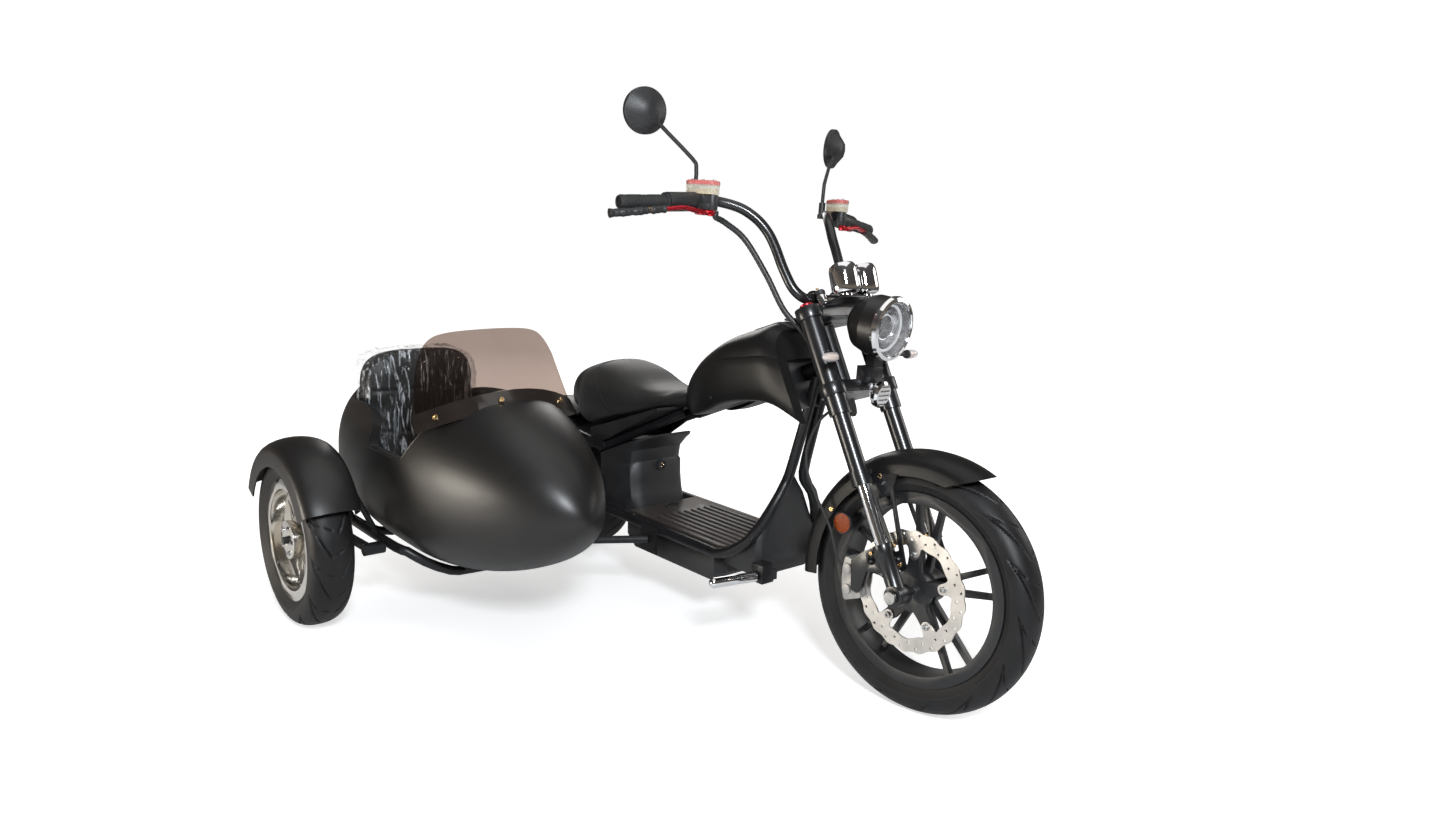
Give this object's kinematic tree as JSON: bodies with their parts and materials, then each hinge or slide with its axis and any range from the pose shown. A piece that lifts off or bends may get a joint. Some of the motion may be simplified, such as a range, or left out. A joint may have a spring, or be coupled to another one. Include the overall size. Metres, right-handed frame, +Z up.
{
  "type": "electric chopper scooter",
  "caption": "Low electric chopper scooter with a high handlebar, round headlamp, ribbed floor and wide rear tyre, with a bullet-nosed sidecar bolted on its right side.",
  "frame": {"origin": "On the ground under the middle of the overall outline", "axes": "+X forward along the direction of travel, +Y to the rider's left, +Z up; the sidecar is on the -Y side"},
  "size_m": [2.082, 1.5374, 1.4294],
  "materials": {
    "tyre": "matte",
    "black_wheel": "satin",
    "polished_alloy": "polished",
    "brake_steel": "machined",
    "grey_steel": "turned",
    "cast_alloy": "cast",
    "fork_black": "satin",
    "chrome": "mirror polish",
    "body_black": "matt lacquer",
    "frame_black": "satin powder coat",
    "rubber": "matte",
    "black_plastic": "fine grain",
    "floor_plastic": "ribbed",
    "red_anodised": "anodised",
    "amber_fluid": "clear",
    "mirror": "silvered",
    "clear_lens": "clear",
    "red_lens": "clear red",
    "black_leather": "soft grain",
    "smoked_screen": "smoked"
  },
  "bodies": {
    "chassis": {"main_frame": "frame_black", "down_tubes": "frame_black", "floor_frame": "frame_black", "floorboard": "floor_plastic", "belly_box": "black_plastic", "front_panel": "black_plastic", "peg_brackets": "frame_black", "footpegs": "chrome", "tank": "body_black", "saddle": "black_leather", "seat_pan": "black_plastic", "seat_rails": "frame_black", "seat_tower": "black_plastic", "charge_port": "black_plastic", "rear_fender": "body_black", "fender_struts": "frame_black", "tail_lamp": "red_lens", "rear_indicators": "clear_lens", "swingarm": "frame_black", "rear_shocks": "frame_black", "sidecar_frame": "frame_black", "sidecar_tub": "body_black", "sidecar_seat": "black_leather", "sidecar_screen": "smoked_screen", "screen_band": "black_plastic", "sidecar_arm": "frame_black", "sidecar_fender": "body_black"},
    "steering": {"front_axle": "grey_steel", "fork_lowers": "fork_black", "fork_stanchions": "chrome", "fork_uppers": "fork_black", "lower_clamp": "fork_black", "upper_clamp": "fork_black", "front_fender": "body_black", "fender_stays": "fork_black", "brake_caliper": "cast_alloy", "handlebar": "fork_black", "grips": "rubber", "bar_controls": "black_plastic", "reservoirs": "amber_fluid", "brake_levers": "red_anodised", "mirrors": "black_plastic", "mirror_glass": "mirror", "headlamp_bucket": "body_black", "headlamp_ring": "chrome", "headlamp_lens": "clear_lens", "gauges": "chrome", "horn": "chrome", "front_indicators": "clear_lens", "cable_loom": "rubber", "brake_hose": "rubber"},
    "front_wheel": {"front_tyre": "tyre", "front_rim": "black_wheel", "front_disc": "brake_steel"},
    "rear_wheel": {"rear_tyre": "tyre", "rear_rim": "black_wheel"},
    "sidecar_wheel": {"sidecar_tyre": "tyre", "sidecar_rim": "polished_alloy"}
  },
  "joints": [
    {"name": "steering_turn", "type": "hinge", "parent": "chassis", "child": "steering", "pos_m": [0.70707, 0.2643, 0.27487], "axis": [-0.4695, 0, 0.8829], "range_deg": [-41.7, 28.3]},
    {"name": "front_spin", "type": "hinge", "parent": "steering", "child": "front_wheel", "pos_m": [0.74653, 0.26955, 0.29585], "axis": [-0.103, 0.9932, -0.0548], "continuous": true},
    {"name": "rear_spin", "type": "hinge", "parent": "chassis", "child": "rear_wheel", "pos_m": [-0.7532, 0.2643, 0.238], "axis": [0, 1, 0], "continuous": true},
    {"name": "sidecar_spin", "type": "hinge", "parent": "chassis", "child": "sidecar_wheel", "pos_m": [-0.5982, -0.6927, 0.238], "axis": [0, 1, 0], "continuous": true}
  ]
}
